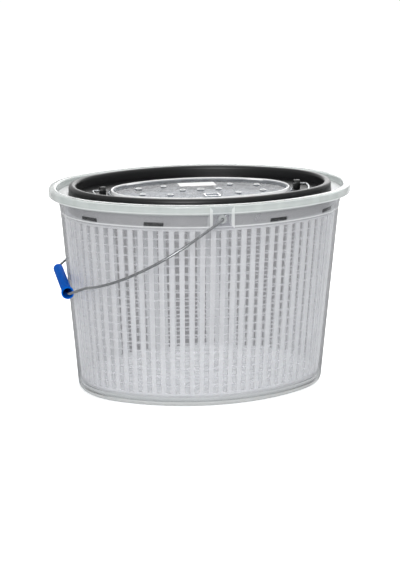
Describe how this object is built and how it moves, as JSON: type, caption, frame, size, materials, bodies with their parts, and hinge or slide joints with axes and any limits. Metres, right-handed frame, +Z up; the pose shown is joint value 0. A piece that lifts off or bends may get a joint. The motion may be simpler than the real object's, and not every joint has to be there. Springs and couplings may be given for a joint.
{
  "type": "fishing bucket",
  "caption": "Oval clear live-bait bucket with a wire bail and blue grip, and a lift-out white strainer basket closed by a black ring with a vented push-in lid.",
  "frame": {"origin": "centre of the oval footprint on the plane the bucket stands on", "axes": "+Z up, +X along the oval's length, away from the end where the bail hangs; the ears are at -Y (front in the picture) and +Y"},
  "size_m": [0.3998, 0.3298, 0.2761],
  "materials": {
    "clear_polypropylene": "clear moulded polypropylene, slightly hazy, smooth",
    "galvanised_wire": "galvanised drawn steel wire, semi-bright",
    "blue_polyethylene": "moulded blue polyethylene, semi-gloss",
    "white_polypropylene": "moulded white polypropylene, satin",
    "black_polypropylene": "moulded black polypropylene, semi-gloss"
  },
  "bodies": {
    "bucket": {"bucket_shell": "clear_polypropylene"},
    "bail": {"carry_bail": "galvanised_wire"},
    "grip": {"bail_grip": "blue_polyethylene"},
    "basket": {"strainer_basket": "white_polypropylene", "cover_ring": "black_polypropylene"},
    "hatch": {"hatch_lid": "clear_polypropylene"},
    "handle": {"basket_handle": "galvanised_wire"}
  },
  "joints": [
    {"name": "bail_swing", "type": "hinge", "parent": "bucket", "child": "bail", "pos_m": [0, 0, 0.2565], "axis": [0, 1, 0], "range_deg": [0, 239.7]},
    {"name": "grip_spin", "type": "hinge", "parent": "bail", "child": "grip", "pos_m": [-0.18465, 0, 0.15033], "axis": [0, 1, 0], "continuous": true},
    {"name": "basket_lift", "type": "slide", "parent": "bucket", "child": "basket", "axis": [0, 0, 1], "range_m": [0, 0.28]},
    {"name": "hatch_lift", "type": "slide", "parent": "basket", "child": "hatch", "axis": [0, 0, 1], "range_m": [0, 0.1]},
    {"name": "handle_swing", "type": "hinge", "parent": "basket", "child": "handle", "pos_m": [0, 0, 0.268], "axis": [-1, 0, 0], "range_deg": [0, 185.3]}
  ]
}
